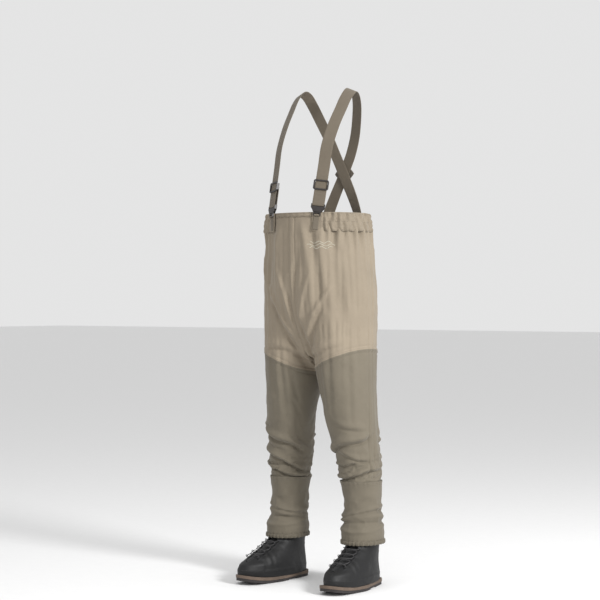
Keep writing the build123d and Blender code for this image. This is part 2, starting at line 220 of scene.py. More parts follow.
class Nodes:
    """A little shorthand for a material's node tree."""

    def __init__(self, name):
        self.material = bpy.data.materials.new(name)
        self.material.use_nodes = True
        self.tree = self.material.node_tree
        self.shader = self.tree.nodes["Principled BSDF"]

    def new(self, kind, **inputs):
        node = self.tree.nodes.new(kind)
        for key, value in inputs.items():
            name = key.replace("_", " ")
            if name in node.inputs:
                target = node.inputs[name]
                if isinstance(value, bpy.types.NodeSocket):
                    self.tree.links.new(value, target)
                else:
                    target.default_value = value
            else:
                setattr(node, key, value)
        return node

    def link(self, source, target):
        self.tree.links.new(source, target)

    def math(self, operation, a, b=None):
        node = self.tree.nodes.new("ShaderNodeMath")
        node.operation = operation
        for i, value in enumerate((a, b)):
            if value is None:
                continue
            if isinstance(value, bpy.types.NodeSocket):
                self.link(value, node.inputs[i])
            else:
                node.inputs[i].default_value = value
        return node.outputs[0]

    def ramp(self, factor, stops):
        node = self.tree.nodes.new("ShaderNodeValToRGB")
        while len(node.color_ramp.elements) < len(stops):
            node.color_ramp.elements.new(0.5)
        for element, (place, colour) in zip(node.color_ramp.elements, stops):
            element.position = place
            element.color = (*colour, 1)
        self.link(factor, node.inputs[0])
        return node.outputs[0]

    def mix(self, factor, a, b):
        node = self.tree.nodes.new("ShaderNodeMix")
        node.data_type = "RGBA"
        for socket, value in ((node.inputs[0], factor), (node.inputs[6], a), (node.inputs[7], b)):
            if isinstance(value, bpy.types.NodeSocket):
                self.link(value, socket)
            else:
                socket.default_value = (*value, 1) if isinstance(value, tuple) else value
        return node.outputs[2]


def scaled(colour, k):
    return tuple(min(1.0, c * k) for c in colour)


def fabric(name, colour, where="rest", weave=2200.0, rough=0.82, weave_bump=0.25, cloudy=0.09,
           second=None, ribs=None):
    """Woven cloth. where is the point attribute that the pattern follows, or None for the
    object's own coordinates. second is a darker cloth below the thigh seams."""
    n = Nodes(name)
    if where:
        place = n.new("ShaderNodeAttribute", attribute_name=where).outputs["Vector"]
    else:
        place = n.new("ShaderNodeTexCoord").outputs["Object"]
    n.shader.inputs["Roughness"].default_value = rough
    n.shader.inputs["Sheen Weight"].default_value = 0.12
    n.shader.inputs["Sheen Roughness"].default_value = 0.5
    n.shader.inputs["Specular IOR Level"].default_value = 0.25
    broad = n.new("ShaderNodeTexNoise", Vector=place, Scale=7.0, Detail=5.0, Roughness=0.6)
    fine = n.new("ShaderNodeTexNoise", Vector=place, Scale=900.0, Detail=2.0)
    tone = n.math("ADD", n.math("MULTIPLY", broad.outputs[0], 0.75),
                  n.math("MULTIPLY", fine.outputs[0], 0.25))
    base = n.ramp(tone, [(0.30, scaled(colour, 1 - cloudy)), (0.70, scaled(colour, 1 + cloudy))])
    if second:
        split = n.new("ShaderNodeSeparateXYZ", Vector=place)
        side = n.math("ABSOLUTE", split.outputs[0])
        line = n.math("ADD", n.math("MULTIPLY", side, THIGH_SEAM_RISE), THIGH_SEAM_Z)
        below = n.math("LESS_THAN", split.outputs[2], line)
        lower = n.ramp(tone, [(0.30, scaled(second, 1 - cloudy)), (0.70, scaled(second, 1 + cloudy))])
        base = n.mix(below, base, lower)
    n.link(base, n.shader.inputs["Base Color"])
    split = n.new("ShaderNodeSeparateXYZ", Vector=place)
    flat = n.math("ADD", split.outputs[0], split.outputs[1])
    warp = n.math("SINE", n.math("MULTIPLY", flat, weave))
    weft = n.math("SINE", n.math("MULTIPLY", split.outputs[2], weave))
    cloth = n.math("MULTIPLY", warp, weft)
    height = n.math("ADD", n.math("MULTIPLY", cloth, 0.5), n.math("MULTIPLY", fine.outputs[0], 0.6))
    if ribs:
        height = n.math("ADD", height, n.math("SINE", n.math("MULTIPLY", split.outputs[0], ribs)))
    crease = n.new("ShaderNodeTexNoise", Vector=place, Scale=46.0, Detail=6.0, Roughness=0.62)
    soft = n.new("ShaderNodeBump", Strength=0.22, Distance=0.002, Height=crease.outputs[0])
    sharp = n.new("ShaderNodeBump", Strength=weave_bump, Distance=0.0004, Height=height,
                  Normal=soft.outputs[0])
    n.link(sharp.outputs[0], n.shader.inputs["Normal"])
    return n.material


def moulded(name, colour, rough, grain=900.0, grain_bump=0.12, wear=0.06, metal=0.0):
    """Plastic, rubber, foam or metal, with a fine grain and a slightly uneven tone."""
    n = Nodes(name)
    place = n.new("ShaderNodeTexCoord").outputs["Object"]
    n.shader.inputs["Metallic"].default_value = metal
    fine = n.new("ShaderNodeTexNoise", Vector=place, Scale=grain, Detail=4.0)
    broad = n.new("ShaderNodeTexNoise", Vector=place, Scale=24.0, Detail=6.0, Roughness=0.65)
    stops = [(0.3, scaled(colour, 1 - wear * 2)), (0.7, scaled(colour, 1 + wear * 4))]
    tone = n.ramp(broad.outputs[0], stops)
    n.link(tone, n.shader.inputs["Base Color"])
    dull = n.math("ADD", n.math("MULTIPLY", broad.outputs[0], 0.25), rough - 0.12)
    n.link(dull, n.shader.inputs["Roughness"])
    grain_node = n.new("ShaderNodeBump", Strength=grain_bump, Distance=0.0005, Height=fine.outputs[0])
    n.link(grain_node.outputs[0], n.shader.inputs["Normal"])
    return n.material


def leather(name, colour):
    n = Nodes(name)
    place = n.new("ShaderNodeTexCoord").outputs["Object"]
    n.shader.inputs["Specular IOR Level"].default_value = 0.4
    cells = n.new("ShaderNodeTexVoronoi", Vector=place, Scale=520.0)
    broad = n.new("ShaderNodeTexNoise", Vector=place, Scale=30.0, Detail=6.0, Roughness=0.6)
    scuff = n.new("ShaderNodeTexNoise", Vector=place, Scale=110.0, Detail=5.0)
    tone = n.ramp(broad.outputs[0], [(0.3, scaled(colour, 0.85)), (0.72, scaled(colour, 1.35))])
    dust = n.ramp(scuff.outputs[0], [(0.62, (0, 0, 0)), (0.78, (0.5, 0.5, 0.5))])
    n.link(n.mix(dust, tone, scaled(colour, 2.2)), n.shader.inputs["Base Color"])
    n.link(n.math("ADD", n.math("MULTIPLY", broad.outputs[0], 0.3), 0.42), n.shader.inputs["Roughness"])
    pores = n.new("ShaderNodeBump", Strength=0.3, Distance=0.0006, Height=cells.outputs[0])
    crease = n.new("ShaderNodeBump", Strength=0.3, Distance=0.002, Height=broad.outputs[0],
                   Normal=pores.outputs[0])
    n.link(crease.outputs[0], n.shader.inputs["Normal"])
    return n.material


TAUPE = srgb(136, 125, 109)
DARK_TAUPE = srgb(108, 101, 88)
SHELL = fabric("shell_fabric", TAUPE, second=DARK_TAUPE)
CASING = fabric("elastic_fabric", scaled(TAUPE, 0.90), weave=2600.0, weave_bump=0.35)
GUARD_CLOTH = fabric("reinforced_fabric", scaled(DARK_TAUPE, 0.94), weave=1500.0, weave_bump=0.4)
HEM = fabric("hem_fabric", scaled(DARK_TAUPE, 0.80), weave=1500.0, weave_bump=0.4)
WEBBING = fabric("webbing", srgb(103, 94, 81), where="weave", weave=1700.0, weave_bump=0.7,
                 ribs=3200.0, rough=0.7)
TAB = fabric("tab_webbing", srgb(104, 96, 84), where="weave", weave=1700.0, weave_bump=0.6)
PATCH = fabric("patch_fabric", srgb(98, 91, 82), where="weave", weave=1400.0, weave_bump=0.3)
THREAD = fabric("thread", srgb(78, 71, 61), where=None, weave=6000.0, rough=0.7)
PALE_THREAD = fabric("emblem_thread", srgb(168, 162, 146), where=None, weave=5000.0, rough=0.55)
NEOPRENE = fabric("neoprene", srgb(40, 40, 42), where=None, weave=1300.0)
LACE = fabric("lace_cord", srgb(62, 61, 62), where=None, weave=2600.0, weave_bump=0.8)
INSOLE = fabric("insole_foam", srgb(70, 70, 70), where=None, weave=1200.0)
PLASTIC = moulded("buckle_plastic", srgb(38, 34, 33), rough=0.42)
METAL = moulded("loop_metal", srgb(60, 60, 62), rough=0.4, metal=0.8)
RUBBER = moulded("outsole_rubber", srgb(40, 36, 36), rough=0.7, grain=500.0, grain_bump=0.3, wear=0.12)
MIDSOLE = moulded("midsole_foam", srgb(92, 78, 67), rough=0.75, grain=700.0, grain_bump=0.25, wear=0.10)
LEATHER = leather("boot_leather", srgb(12, 12, 13))
LINING = fabric("tongue_fabric", srgb(15, 15, 16), where=None, weave=1100.0, weave_bump=0.5)
FLOOR = moulded("studio_floor", (0.80, 0.80, 0.80), rough=0.9, grain=60.0, grain_bump=0.02, wear=0.004)


def dress(obj, material, body=ROOT):
    """Gives a new mesh its material and slot, and the body that it rides on."""
    obj.data.materials.clear()
    obj.data.materials.append(material)
    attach(obj, body)
    return obj


def refinish(node, material):
    """Another material for a piece of the frame."""
    part = NODES[node]
    part.data.materials.clear()
    part.data.materials.append(material)
    return part


# ---- the shell of the garment
def stack(name, sections, low, high, around=72, inset=0.0, mirror=1.0):
    """A closed stack of ellipses."""
    heights = np.linspace(low, high, int((high - low) / 0.012) + 2)
    x, y, a, b = section(sections, heights, smooth=0.02)
    turns = np.linspace(0, 2 * math.pi, around, endpoint=False)
    verts = [
        (mirror * x[i] + (a[i] - inset) * math.sin(t), AXIS_Y + y[i] - (b[i] - inset) * math.cos(t), z)
        for i, z in enumerate(heights) for t in turns
    ]
    faces = grid_faces(len(heights), around, closed=True)
    faces.append(tuple(reversed(range(around))))
    last = (len(heights) - 1) * around
    faces.append(tuple(range(last, last + around)))
    return add_object(name, verts, faces)


def one_body(name, inset):
    """The torso and both legs as one even skin."""
    pieces = [stack("t", TORSO, 0.775, 1.25, inset=inset)]
    pieces += [stack("l", LEG, 0.155, 0.925, inset=inset, mirror=k) for _, k in SIDES]
    bm = bmesh.new()
    for piece in pieces:
        bm.from_mesh(piece.data)
        bpy.data.objects.remove(piece)
    mesh = bpy.data.meshes.new(name)
    bm.to_mesh(mesh)
    bm.free()
    obj = new_object(name, mesh)
    mod = obj.modifiers.new("remesh", "REMESH")
    mod.mode = "VOXEL"
    mod.voxel_size = VOXEL
    soften = obj.modifiers.new("soften", "SMOOTH")
    soften.factor = 0.5
    soften.iterations = 10
    return apply_all(obj)


def simulate_shell(shell, wearer):
    """Cloth cut longer than the wearer's legs, that settles over them under its weight."""
    rest = coords(shell.data)
    z = rest[:, 2]
    pin = shell.vertex_groups.new(name="pin")
    slack = shell.vertex_groups.new(name="slack")
    held = np.maximum(smoothstep(1.13, 1.165, z), 1 - smoothstep(0.335, 0.36, z))
    loose = bump(z, 0.55, 0.17) + 0.55 * bump(z, 0.82, 0.10) + 0.15
    for i, (h, s) in enumerate(zip(held, np.clip(loose, 0, 1))):
        pin.add([i], float(h), "REPLACE")
        slack.add([i], float(s), "REPLACE")
    hit = wearer.modifiers.new("hit", "COLLISION")
    wearer.collision.thickness_outer = 0.004
    wearer.collision.cloth_friction = 12
    cloth = shell.modifiers.new("cloth", "CLOTH")
    s = cloth.settings
    s.quality = 6
    s.mass = 0.22
    s.tension_stiffness = s.compression_stiffness = 28
    s.shear_stiffness = 14
    s.bending_stiffness = 0.55
    s.tension_damping = s.compression_damping = 6
    s.air_damping = 1.5
    s.vertex_group_mass = "pin"
    s.vertex_group_shrink = "slack"
    s.shrink_min = -0.012
    s.shrink_max = -0.085
    c = cloth.collision_settings
    c.distance_min = 0.004
    c.collision_quality = 2
    c.use_self_collision = False
    scene = bpy.context.scene
    cloth.point_cache.frame_start, cloth.point_cache.frame_end = 1, 60
    for f in range(1, CLOTH_FRAMES + 1):
        scene.frame_set(f)
    apply_all(shell)
    moved = coords(shell.data) - rest
    length = np.linalg.norm(moved, axis=1, keepdims=True)
    set_coords(shell.data, rest + moved * np.minimum(1, CLOTH_REACH / np.maximum(length, 1e-9)))
    scene.frame_set(1)


def around_angle(points):
    """Turn round the torso's axis from the front, towards the wearer's left, in radians."""
    return np.arctan2(points[:, 0], -(points[:, 1] - AXIS_Y))


shell = one_body("wader_shell", 0.0)
wearer = one_body("wearer_form", WEARER_INSET)
bm = bmesh.new()
bm.from_mesh(shell.data)
for cut, way in ((TOP_Z, 1), (SHELL_LOW, -1)):
    bmesh.ops.bisect_plane(bm, geom=bm.verts[:] + bm.edges[:] + bm.faces[:], plane_co=(0, 0, cut),
                           plane_no=(0, 0, way), clear_outer=True)
bm.to_mesh(shell.data)
bm.free()
put_attribute(shell, "rest", coords(shell.data))
simulate_shell(shell, wearer)
bpy.data.objects.remove(wearer)
finer = shell.modifiers.new("finer", "SUBSURF")
finer.levels = finer.render_levels = 2
apply_all(shell)

rest = read(shell.data.attributes["rest"].data, "vector")
here, out = coords(shell.data), normals(shell.data)
z, turn = rest[:, 2], around_angle(rest)
front = rest[:, 1] < SEAM_Y
lift = np.zeros(len(rest))


def seam(distance, where, height=0.0011, half=0.0065):
    """A flat felled seam: a raised band with a groove along each edge."""
    d = np.abs(distance)
    band = smoothstep(half + 0.003, half - 0.001, d) * height
    groove = bump(d, half + 0.004, 0.0035) * height * 1.1
    return np.where(where, band - groove, 0)


lift += seam(rest[:, 0], z > 0.80)
lift += seam(z - THIGH_SEAM_Z - THIGH_SEAM_RISE * np.abs(rest[:, 0]), z > 0.6, 0.0012)
lift += seam(rest[:, 1] - SEAM_Y, np.abs(rest[:, 0]) > 0.15) * (z > 0.36)
# puckers that run down from the gathered elastic
side = smoothstep(CASING_FROM + 0.16, CASING_FROM + 0.30, np.abs(turn)) * (
    1 - smoothstep(CASING_TO - 0.10, CASING_TO, np.abs(turn)))
fade = np.exp(-np.clip(CASING_LOW + 0.006 - z, 0, 1) / 0.050) * smoothstep(1.19, 1.16, z)
wander = fbm(rest, 6.0, 2, 3.0)
ripple = np.sin(np.abs(turn) * 33 + wander * 2.4) + 0.6 * np.sin(np.abs(turn) * 19 + 1.3 + wander * 3)
lift += 0.0062 * ripple * side * fade
# long soft folds down the bib: (x, drift with height, half width, height of the fold, from z, to z)
for k, (x0, drift, width, height, low, high) in enumerate((
    (0.046, 0.10, 0.013, 0.0050, 0.86, 1.21), (0.098, 0.18, 0.016, 0.0060, 0.90, 1.20),
    (0.020, -0.06, 0.012, -0.0045, 0.80, 1.12), (0.072, 0.12, 0.013, -0.0058, 0.88, 1.19),
    (-0.052, -0.10, 0.015, 0.0050, 0.86, 1.20), (-0.100, -0.16, 0.016, -0.0054, 0.84, 1.18),
    (0.135, 0.10, 0.014, -0.0058, 0.84, 1.15), (0.160, 0.05, 0.013, 0.0050, 0.82, 1.10),
)):
    line = x0 + drift * (1.22 - z) * 0.5 + 0.010 * np.sin(z * 14 + k * 2.1)
    span = smoothstep(low, low + 0.10, z) * (1 - smoothstep(high - 0.05, high, z))
    lift += np.where(front, height * bump(rest[:, 0], line, width) * span, 0)
# long drag lines from the hips down to the crotch: (x and z at the top, x and z at the foot,
# half width, height of the fold)
for x0, z0, x1, z1, half, height in (
    (-0.150, 1.02, -0.018, 0.815, 0.010, 0.0062), (-0.120, 0.95, -0.030, 0.790, 0.009, -0.0055),
    (-0.075, 1.06, -0.006, 0.850, 0.009, 0.0050), (0.150, 1.00, 0.022, 0.812, 0.010, 0.0060),
    (0.110, 0.93, 0.034, 0.785, 0.009, -0.0055), (0.070, 1.04, 0.010, 0.850, 0.009, 0.0050),
    (-0.172, 1.12, -0.120, 0.900, 0.011, 0.0050), (-0.030, 0.98, 0.004, 0.800, 0.007, -0.0070),
    (0.012, 0.90, 0.020, 0.775, 0.007, -0.0080),
):
    share = np.clip((z0 - z) / (z0 - z1), 0, 1)
    line = x0 + (x1 - x0) * share ** 0.8
    span = smoothstep(0.0, 0.25, share) * smoothstep(z1 - 0.03, z1 + 0.03, z) * (share < 1.01)
    lift += np.where(front, height * bump(rest[:, 0], line, half) * span, 0)
# behind, folds under the seat and down from the waist: (x at the top and foot, z at the top and
# foot, half width, height of the fold)
for k, (x0, x1, z0, z1, half, height) in enumerate((
    (-0.120, -0.070, 1.16, 0.90, 0.013, 0.0055), (-0.060, -0.040, 1.14, 0.86, 0.012, -0.0050),
    (0.000, 0.006, 1.16, 0.88, 0.013, 0.0045), (0.060, 0.045, 1.15, 0.86, 0.012, -0.0055),
    (0.115, 0.080, 1.17, 0.90, 0.013, 0.0055), (0.150, 0.020, 0.95, 0.80, 0.010, 0.0060),
    (-0.150, -0.020, 0.95, 0.80, 0.010, 0.0060),
)):
    share = np.clip((z0 - z) / (z0 - z1), 0, 1)
    line = x0 + (x1 - x0) * share + 0.006 * np.sin(z * 17 + k)
    span = smoothstep(0.0, 0.25, share) * smoothstep(z1 - 0.04, z1 + 0.04, z)
    lift += np.where(front, 0, height * bump(rest[:, 0], line, half) * span)
# folds round each leg: (side, height at the front, rise for each radian round towards the left,
# half width, height of the fold, from angle, to angle)
FOLDS = [
    (1, 0.800, 0.020, 0.013, 0.0045, -1.9, 0.8), (-1, 0.800, -0.020, 0.013, 0.0045, -0.8, 1.9),
    (1, 0.488, 0.024, 0.013, 0.0100, -1.7, 1.7), (1, 0.455, -0.022, 0.009, 0.0045, -0.6, 1.6),
    (1, 0.424, 0.020, 0.010, 0.0055, -1.4, 1.0), (1, 0.374, 0.016, 0.010, 0.0095, -2.2, 2.6),
    (-1, 0.500, -0.032, 0.013, 0.0100, -1.7, 1.5), (-1, 0.466, -0.034, 0.008, 0.0045, -1.2, 0.5),
    (-1, 0.428, -0.034, 0.011, 0.0095, -1.6, 1.7), (-1, 0.378, -0.018, 0.010, 0.0095, -2.2, 2.6),
    (1, 0.556, -0.020, 0.012, 0.0040, -0.4, 1.5), (-1, 0.560, 0.024, 0.012, 0.0040, -1.5, 0.4),
    (1, 0.525, 0.010, 0.011, 0.0070, 1.9, 4.4), (1, 0.487, -0.012, 0.010, 0.0085, 1.8, 4.5),
    (1, 0.447, 0.014, 0.010, 0.0060, 2.0, 4.3), (-1, 0.522, 0.012, 0.011, 0.0070, 2.0, 4.5),
    (-1, 0.484, -0.010, 0.010, 0.0085, 1.9, 4.6), (-1, 0.444, 0.016, 0.010, 0.0060, 2.1, 4.4),
]
for number, (k, z0, rise, half, height, start, end) in enumerate(FOLDS):
    cx, cy, _, _ = section(LEG, z)
    angle = np.arctan2(rest[:, 0] - k * cx, -(rest[:, 1] - AXIS_Y - cy))
    middle = 0.0
    if end > math.pi:
        angle, middle = angle % (2 * math.pi), math.pi
    line = z0 + rise * (angle - middle) + 0.005 * np.sin((angle - middle) * 3 + number)
    span = smoothstep(start, start + 0.9, angle) * (1 - smoothstep(end - 0.9, end, angle))
    fold = bump(z, line, half) - 0.9 * bump(z, line - 1.35 * half, 0.5 * half)
    lift += height * fold * span * (rest[:, 0] * k > 0.004)
creases = 1 - 2.2 * np.abs(fbm(rest, 9.0, 2, 5.0))
lift += 0.0016 * creases * smoothstep(1.17, 1.10, z) * smoothstep(0.34, 0.40, z)
lift += 0.0008 * fbm(rest, 24.0, 3, 1.0) * (z < 1.20)
lift += 0.0030 * fbm(rest, 7.0, 2, 9.0) * smoothstep(1.17, 1.08, z) * smoothstep(0.34, 0.40, z)
set_coords(shell.data, here + out * lift[:, None])
tree = BVHTree.FromObject(shell, bpy.context.evaluated_depsgraph_get())

lookup = kdtree.KDTree(len(rest))
for i, p in enumerate(rest):
    lookup.insert(Vector(p), i)
lookup.balance()
final, final_out = coords(shell.data), normals(shell.data)


def on_cloth(point):
    """Where a place of the uncreased shell has gone, and the way out from the cloth there."""
    found = lookup.find_n(Vector(point), 7)
    weights = np.array([1 / (d * d + 2e-6) for _, _, d in found])
    index = [i for _, i, _ in found]
    weights /= weights.sum()
    way = weights @ final_out[index]
    return weights @ final[index], way / np.linalg.norm(way)


def way_out(angle):
    return np.array([math.sin(angle), -math.cos(angle), 0])


def torso_point(angle, height, lift_off=0.0):
    x, y, a, b = section(TORSO, height, smooth=0.02)[:, 0]
    direction = np.array([math.sin(angle), -math.cos(angle)])
    r = 1 / math.hypot(direction[0] / (a + lift_off), direction[1] / (b + lift_off))
    return np.array([r * direction[0], AXIS_Y + y + r * direction[1], height])


# one stitch, as (share along, share across, share of the height)
STITCH = [(0.5, 0, 0), (0.22, 0.5, 0), (-0.22, 0.5, 0), (-0.5, 0, 0), (-0.22, -0.5, 0), (0.22, -0.5, 0),
          (0.2, 0, 1), (-0.2, 0, 1)]
STITCH_FACES = [(0, 1, 6), (1, 2, 7, 6), (2, 3, 7), (3, 4, 7), (4, 5, 6, 7), (5, 0, 6), (5, 4, 3, 2, 1, 0)]


def stitches(name, routes, length=0.0036, gap=0.0016, width=0.0011, height=0.0006,
             material=THREAD, sink=0.0002):
    """Rows of stitches. Each route is a list of (point, way out)."""
    verts, faces = [], []
    for route in routes:
        points = np.array([p for p, _ in route])
        ways = np.array([w for _, w in route])
        steps = np.r_[0, np.cumsum(np.linalg.norm(np.diff(points, axis=0), axis=1))]
        for s in np.arange(gap, steps[-1] - length, length + gap):
            middle = np.array([np.interp(s + length / 2, steps, points[:, i]) for i in range(3)])
            ahead = np.array([np.interp(s + length, steps, points[:, i]) for i in range(3)])
            behind = np.array([np.interp(s, steps, points[:, i]) for i in range(3)])
            up = np.array([np.interp(s + length / 2, steps, ways[:, i]) for i in range(3)])
            along = (ahead - behind) / max(np.linalg.norm(ahead - behind), 1e-9)
            up = up - along * (up @ along)
            up /= np.linalg.norm(up)
            across = np.cross(up, along)
            start = len(verts)
            for a, c, h in STITCH:
                verts.append(middle + along * a * length + across * c * width + up * (h * height - sink))
            faces += [tuple(start + i for i in f) for f in STITCH_FACES]
    return dress(add_object(name, verts, faces), material)


def centre_row(offset):
    """A stitch row beside the seam down the middle of the front."""
    route = []
    for height in np.linspace(0.82, 1.208, 160):
        x, y, a, b = section(TORSO, height, smooth=0.02)[:, 0]
        route.append(on_cloth((offset, AXIS_Y + y - b, height)))
    return route


def thigh_row(offset, k):
    """A stitch row beside the angled seam round one thigh."""
    route = []
    for t in np.linspace(-2.9, 2.9, 300):
        height = THIGH_SEAM_Z
        for _ in range(4):
            x, y, a, b = section(LEG, height, smooth=0.02)[:, 0]
            px = k * x + a * math.sin(t)
            height = THIGH_SEAM_Z + THIGH_SEAM_RISE * abs(px) + offset
        route.append(on_cloth((px, AXIS_Y + y - b * math.cos(t), height)))
    return route


seam_rows = [centre_row(offset) for offset in (-0.005, 0.005)]
seam_rows += [thigh_row(offset, k) for offset in (-0.0045, 0.0045) for _, k in SIDES]
stitches("seam_stitches", seam_rows)
thicken(shell, SHELL_THICK)
dress(shell, SHELL)
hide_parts(*[f"{n}_{s}" for s, _ in SIDES for n in ("front_panel", "back_panel", "lower_leg_panel")],
            "front_seam_tape", "back_seam_tape")

# ---- bands round the bib's edge
CASING_OUT = 0.0036
HEM_LOW, HEM_OUT, HEM_END = TOP_Z - 0.015, 0.0016, 0.012


def band(name, start, end, low, high, base, gather, material, replaced, slot, cols=420, rows=22):
    """A band round the bib between two angles, that stands base off the shell. gather gives the
    extra stand-off from (angle, share of the height)."""
    angles = np.linspace(start, end, cols)
    shares = np.linspace(0, 1, rows)
    verts, rest_places = [], []
    for share in shares:
        height = low + (high - low) * share
        x, y, a, b = section(TORSO, height, smooth=0.02)[:, 0]
        edge = 1 - min(1, min(share, 1 - share) / 0.06)
        for t in angles:
            r = 1 / math.hypot(math.sin(t) / a, math.cos(t) / b)
            r += base * (1 - 0.4 * edge * edge) + gather(t, share)
            verts.append((r * math.sin(t), AXIS_Y + y - r * math.cos(t), height))
            rest_places.append((t * 0.17, 0.3, height))
    obj = add_object(name, verts, grid_faces(rows, cols))
    put_attribute(obj, "rest", rest_places)
    thicken(obj, 0.0016)
    dress(obj, material)
    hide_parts(*replaced)
    return obj


def gathers(t, share):
    """Uneven gathers of elasticated cloth, none on the flat end that is tacked to the bib."""
    t = abs(t)
    loose = float(smoothstep(CASING_FROM + 0.17, CASING_FROM + 0.24, t)
                  * (1 - smoothstep(CASING_TO - 0.09, CASING_TO - 0.03, t)))
    wave = (1.25 * math.sin(t * 36 + 1.9 * math.sin(t * 7) + 1.1 * math.sin(share * 5))
            + 0.5 * math.sin(t * 67 + 2.4 * share))
    rows = 0.55 + 0.45 * abs(math.sin(share * math.pi * 4))
    crumple = noise.fractal(Vector((t * 9, share * 2.2, 4.0)), 0.8, 2.0, 2)
    return loose * (0.0027 * wave * rows + 0.0014 * math.sin(share * math.pi) + 0.0022 * crumple)


def row_on_band(start, end, height, base, count=300):
    """A stitch row along a casing, on its gathers."""
    route = []
    for t in np.linspace(start, end, count):
        p = torso_point(t, height)
        r = math.hypot(p[0], p[1] - AXIS_Y - section(TORSO, height)[1, 0])
        share = (height - CASING_LOW) / (TOP_Z - CASING_LOW)
        k = (r + base + gathers(t, share)) / r
        cy = AXIS_Y + section(TORSO, height, smooth=0.02)[1, 0]
        route.append((np.array([p[0] * k, cy + (p[1] - cy) * k, height]), way_out(t)))
    return route


def column_on_band(t, low, high, base):
    return [row_on_band(t, t + 1e-5, h, base, 2)[0] for h in np.linspace(low, high, 20)]


for name, k in SIDES:
    band(f"side_casing_{name}", k * CASING_FROM, k * CASING_TO, CASING_LOW, TOP_Z - 0.0004, CASING_OUT,
         gathers, CASING, [f"side_casing_{name}", f"side_elastic_{name}"], "elastic_fabric")
    routes = [row_on_band(k * (CASING_FROM + 0.015), k * (CASING_TO - 0.02), h, CASING_OUT)
              for h in (CASING_LOW + 0.004, CASING_LOW + 0.031, TOP_Z - 0.005)]
    routes += [column_on_band(k * t, CASING_LOW + 0.004, TOP_Z - 0.005, CASING_OUT)
               for t in (CASING_FROM + 0.02, CASING_FROM + 0.165, CASING_FROM + 0.182, CASING_TO - 0.03)]
    stitches(f"casing_stitches_{name}", routes)


def plain(t, share):
    """Hardly any gathers."""
    return 0.0003 * math.sin(t * 40)


band("front_hem", -CASING_FROM + HEM_END, CASING_FROM - HEM_END, HEM_LOW, TOP_Z, HEM_OUT, plain, CASING,
     ["front_hem"], "elastic_fabric", rows=8)
band("back_hem", CASING_TO + HEM_END, 2 * math.pi - CASING_TO - HEM_END, HEM_LOW, TOP_Z, HEM_OUT, plain,
     CASING, ["back_hem"], "elastic_fabric", rows=8)
hem_rows = []
for start, end in ((-CASING_FROM + 0.02, CASING_FROM - 0.02),
                   (CASING_TO + 0.02, 2 * math.pi - CASING_TO - 0.02)):
    for height in (TOP_Z - 0.012, TOP_Z - 0.003):
        route = []
        for t in np.linspace(start, end, 200):
            route.append((torso_point(t, height, 0.0018), way_out(t)))
        hem_rows.append(route)
stitches("hem_stitches", hem_rows)

# ---- gravel guards
GUARD_TOP, GUARD_LOW, GUARD_EDGE = 0.345, 0.141, 0.150


def guard_radius(k, t, z):
    """How far the guard stands out at an angle round the leg and a height, over its ellipse."""
    p = Vector((math.sin(t) * 0.07, -math.cos(t) * 0.07, z))
    wander = noise.fractal(p * 16 + Vector((k * 3, 0, 0)), 0.9, 2.0, 2)
    height = (z - GUARD_LOW) / (GUARD_TOP - GUARD_LOW)
    rolls = math.sin((z * 88) + 1.5 * math.sin(t + k) + wander * 2.4)
    rolls += 0.6 * math.sin(z * 150 + 2.0 * math.sin(t * 2 + 1) + wander * 2)
    middle = math.exp(-(((height - 0.52) / 0.30) ** 2))
    pleats = math.sin(t * 26 + wander * 3) + 0.4 * math.sin(t * 41 + 1)
    low = math.exp(-height / 0.055)
    high = math.exp(-(1 - height) / 0.05)
    bell = 0.003 * math.exp(-(((height - 0.18) / 0.09) ** 2))
    turn = t * k
    roll_a = math.exp(-(((z - 0.222 - 0.012 * math.sin(turn + 0.6)) / 0.0085) ** 2))
    roll_b = math.exp(-(((z - 0.247 - 0.015 * math.sin(turn - 0.5)) / 0.0070) ** 2))
    roll_c = math.exp(-(((z - 0.196 + 0.012 * math.sin(turn + 1.4)) / 0.0075) ** 2))
    dent_a = math.exp(-(((z - 0.234 - 0.014 * math.sin(turn + 0.1)) / 0.0050) ** 2))
    dent_b = math.exp(-(((z - 0.209 - 0.004 * math.sin(turn + 0.9)) / 0.0050) ** 2))
    bunch = 0.0062 * roll_a + 0.0050 * roll_b + 0.0045 * roll_c - 0.0045 * dent_a - 0.0040 * dent_b
    ridges = 1 - 2.4 * abs(noise.fractal(p * 19 + Vector((k * 5, 2, 0)), 0.8, 2.0, 2))
    bunch = 1.35 * bunch + 0.0030 * ridges * middle
    return (bunch * (0.75 + 0.6 * wander) + 0.0014 * rolls * middle + 0.0014 * pleats * low
            + 0.0006 * pleats * high + bell + 0.0014 * wander - 0.0030 * low)


def guard_point(k, ellipse, r, t, z):
    """A point at height z that stands r off one of the guard's ellipses."""
    x, y, a, b = ellipse
    return k * x + (a + r) * math.sin(t), AXIS_Y + y - (b + r) * math.cos(t), z


